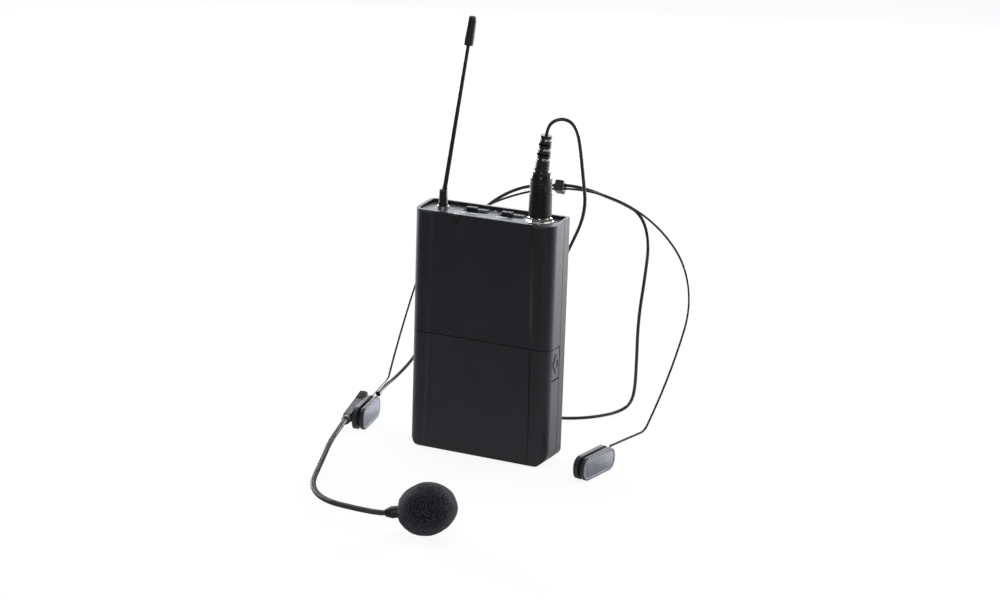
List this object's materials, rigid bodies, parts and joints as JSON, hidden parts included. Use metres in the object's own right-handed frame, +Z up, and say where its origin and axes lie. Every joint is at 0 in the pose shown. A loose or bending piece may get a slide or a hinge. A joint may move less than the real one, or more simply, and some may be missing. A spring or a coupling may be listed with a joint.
{
  "type": "wireless bodypack transmitter",
  "caption": "Pocket-size radio transmitter pack with whip antenna, slide switches, battery door and belt clip, with a headset microphone plugged in.",
  "frame": {"origin": "centre of the pack's foot, on the floor it stands on", "axes": "+Z up along the pack, +X to the right seen from the front, +Y to the back, the belt clip's side"},
  "size_m": [0.1368, 0.2053, 0.1852],
  "materials": {
    "antenna_black": "satin",
    "board_green": "solder mask",
    "boom_black": "finely ribbed",
    "cable_black": "satin",
    "can_tin": "tin plate",
    "case_black": "satin, very fine texture",
    "cell_jacket": "printed sleeve",
    "chip_black": "matt",
    "contact_steel": "nickel plated spring steel",
    "foam_black": "open-cell foam",
    "lamp_red": "gloss",
    "lens_smoke": "clear smoked red",
    "mic_black": "matt",
    "nickel": "nickel plate",
    "pad_black": "satin",
    "pad_grey": "matt",
    "panel_grey": "satin",
    "plug_black": "satin",
    "rubber_black": "satin",
    "screw_steel": "blackened",
    "spring_steel": "blackened",
    "switch_black": "matt",
    "switch_housing": "matt",
    "tray_black": "matt",
    "wire_black": "satin"
  },
  "bodies": {
    "pack": {"back_shell": "case_black", "front_cover": "case_black", "door_hinge_pins": "screw_steel", "top_panel": "panel_grey", "power_switch_body": "switch_housing", "mute_switch_body": "switch_housing", "indicator_lens": "lens_smoke", "indicator_lamp": "lamp_red", "jack_socket": "nickel", "jack_nut": "nickel", "plug_pin": "nickel", "plug_body": "plug_black", "strain_relief": "rubber_black", "antenna_ferrule": "nickel", "antenna_boot": "antenna_black", "antenna_whip": "antenna_black", "antenna_cap": "antenna_black", "main_board": "board_green", "shield_can": "can_tin", "board_chips": "chip_black", "board_screws": "screw_steel", "case_screws": "screw_steel", "battery_tray": "tray_black", "battery_lower": "cell_jacket", "battery_upper": "cell_jacket", "contact_plates": "contact_steel", "contact_springs": "contact_steel", "clip_pin": "screw_steel", "clip_spring": "spring_steel", "headband": "wire_black", "right_pad_shell": "pad_grey", "right_pad_cushion": "pad_black", "left_pad_shell": "pad_black", "left_pad_cushion": "pad_grey", "cable_gland": "rubber_black", "band_clip": "pad_black", "lead_upper": "cable_black", "lead_lower": "cable_black", "lead_coil": "cable_black", "coil_tie": "rubber_black"},
    "battery_door": {"battery_door": "case_black"},
    "latch_left": {"latch_left": "case_black"},
    "latch_right": {"latch_right": "case_black"},
    "power_knob": {"power_switch_knob": "switch_black"},
    "mute_knob": {"mute_switch_knob": "switch_black"},
    "belt_clip": {"belt_clip": "case_black"},
    "plug_collar": {"plug_collar": "plug_black"},
    "boom": {"boom_holder": "pad_black", "boom_collar": "pad_black", "gooseneck": "boom_black", "mic_boot": "rubber_black", "mic_capsule": "mic_black", "mic_grille": "mic_black", "windscreen": "foam_black"}
  },
  "joints": [
    {"name": "door_hinge", "type": "hinge", "parent": "pack", "child": "battery_door", "pos_m": [0, 0.0006, 0.00175], "axis": [1, 0, 0], "range_deg": [0, 65]},
    {"name": "left_latch_press", "type": "slide", "parent": "battery_door", "child": "latch_left", "axis": [1, 0, 0], "range_m": [0, 0.0008], "stiffness_N_per_m": 500},
    {"name": "right_latch_press", "type": "slide", "parent": "battery_door", "child": "latch_right", "axis": [-1, 0, 0], "range_m": [0, 0.0008], "stiffness_N_per_m": 500},
    {"name": "power_slide", "type": "slide", "parent": "pack", "child": "power_knob", "axis": [1, 0, 0], "range_m": [0, 0.004]},
    {"name": "mute_slide", "type": "slide", "parent": "pack", "child": "mute_knob", "axis": [1, 0, 0], "range_m": [0, 0.004]},
    {"name": "clip_spring_hinge", "type": "hinge", "parent": "pack", "child": "belt_clip", "pos_m": [0, 0.0136, 0.086], "axis": [1, 0, 0], "range_deg": [0, 12], "stiffness_Nm_per_rad": 0.5},
    {"name": "collar_spin", "type": "hinge", "parent": "pack", "child": "plug_collar", "pos_m": [0.0221, 0, 0.11], "axis": [0, 0, 1], "continuous": true},
    {"name": "boom_swivel", "type": "hinge", "parent": "pack", "child": "boom", "pos_m": [-0.06641, 0.00935, 0.00849], "axis": [-0.9816, -0.1908, 0], "range_deg": [0, 55]}
  ]
}
